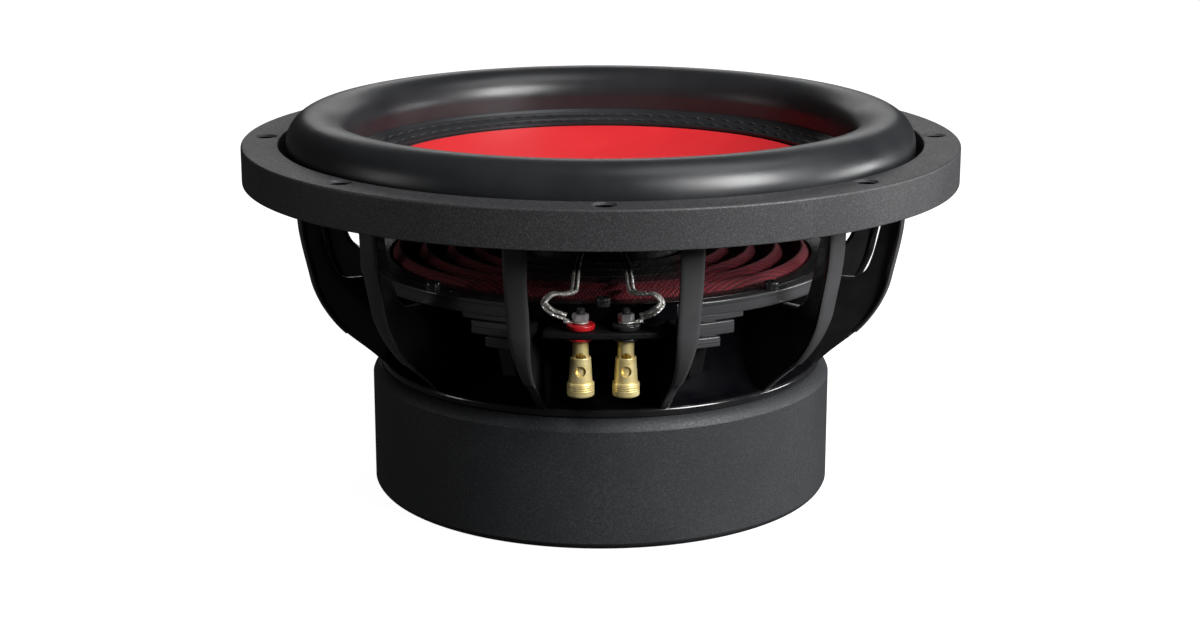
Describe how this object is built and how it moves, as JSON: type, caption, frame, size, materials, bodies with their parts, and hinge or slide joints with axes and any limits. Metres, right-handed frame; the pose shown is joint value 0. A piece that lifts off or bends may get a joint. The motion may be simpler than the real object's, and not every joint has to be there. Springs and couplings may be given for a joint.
{
  "type": "car subwoofer speaker",
  "caption": "Round subwoofer driver with a dished red cone, tall stitched surround, ribbed basket, push terminals and a rubber-booted magnet.",
  "frame": {"origin": "on the speaker axis, at the bottom of the magnet boot", "axes": "+Z along the speaker axis towards the cone; the terminals face -Y; +X to the right seen from the terminals"},
  "size_m": [0.318, 0.318, 0.1711],
  "materials": {
    "cast_black": "satin powder coat",
    "textured_black": "fine grained",
    "rubber_black": "satin",
    "boot_rubber": "fine grained",
    "dish_red": "satin",
    "spider_cloth": "woven",
    "cone_paper": "pressed",
    "gold": "gold plated",
    "washer_red": "moulded",
    "washer_black": "moulded",
    "board": "satin",
    "tinned": "tinned copper",
    "steel": "zinc plated",
    "black_screw": "black oxide",
    "ferrite": "ground",
    "aluminium": "turned",
    "copper": "enamelled wire",
    "former_black": "black anodised",
    "machined_black": "machined edges"
  },
  "bodies": {
    "frame_body": {"basket_arm_01": "cast_black", "basket_arm_02": "cast_black", "basket_arm_03": "cast_black", "basket_arm_04": "cast_black", "basket_arm_05": "cast_black", "basket_arm_06": "cast_black", "basket_arm_07": "cast_black", "basket_arm_08": "cast_black", "basket_arm_09": "cast_black", "basket_arm_10": "cast_black", "basket_arm_11": "cast_black", "basket_arm_12": "cast_black", "basket_bowl": "cast_black", "basket_flange": "cast_black", "basket_spider_ledge": "machined_black", "magnet_boot": "boot_rubber", "magnet_lower": "ferrite", "magnet_upper": "ferrite", "shorting_ring": "aluminium", "solder_lug_black": "tinned", "solder_lug_red": "tinned", "spider": "spider_cloth", "spider_clamp_ring": "washer_black", "spider_screw_01": "black_screw", "spider_screw_02": "black_screw", "spider_screw_03": "black_screw", "spider_screw_04": "black_screw", "spider_screw_05": "black_screw", "spider_screw_06": "black_screw", "spider_screw_07": "black_screw", "spider_screw_08": "black_screw", "spider_screw_09": "black_screw", "spider_screw_10": "black_screw", "surround": "rubber_black", "t_yoke": "steel", "terminal_bracket": "cast_black", "terminal_nut_black": "steel", "terminal_nut_red": "steel", "terminal_plate": "board", "terminal_post_black": "gold", "terminal_post_red": "gold", "terminal_spring_black": "steel", "terminal_spring_red": "steel", "terminal_washer_black_lower": "washer_black", "terminal_washer_black_upper": "washer_black", "terminal_washer_red_lower": "washer_red", "terminal_washer_red_upper": "washer_red", "tinsel_lead_black": "tinned", "tinsel_lead_red": "tinned", "top_plate": "steel", "trim_ring": "textured_black"},
    "cone_body": {"cone": "cone_paper", "dust_cap": "dish_red", "coil_former": "former_black", "voice_coil": "copper"},
    "red_sleeve_body": {"terminal_sleeve_red": "gold"},
    "black_sleeve_body": {"terminal_sleeve_black": "gold"}
  },
  "joints": [
    {"name": "cone_travel", "type": "slide", "parent": "frame_body", "child": "cone_body", "axis": [0, 0, 1], "range_m": [-0.018, 0.018], "stiffness_N_per_m": 7000, "deforming": ["surround", "spider", "tinsel_lead_red", "tinsel_lead_black"]},
    {"name": "red_terminal_push", "type": "slide", "parent": "frame_body", "child": "red_sleeve_body", "axis": [0, 0, 1], "range_m": [0, 0.0053], "stiffness_N_per_m": 900, "springref_m": -0.003, "deforming": ["terminal_spring_red"]},
    {"name": "black_terminal_push", "type": "slide", "parent": "frame_body", "child": "black_sleeve_body", "axis": [0, 0, 1], "range_m": [0, 0.0053], "stiffness_N_per_m": 900, "springref_m": -0.003, "deforming": ["terminal_spring_black"]}
  ]
}
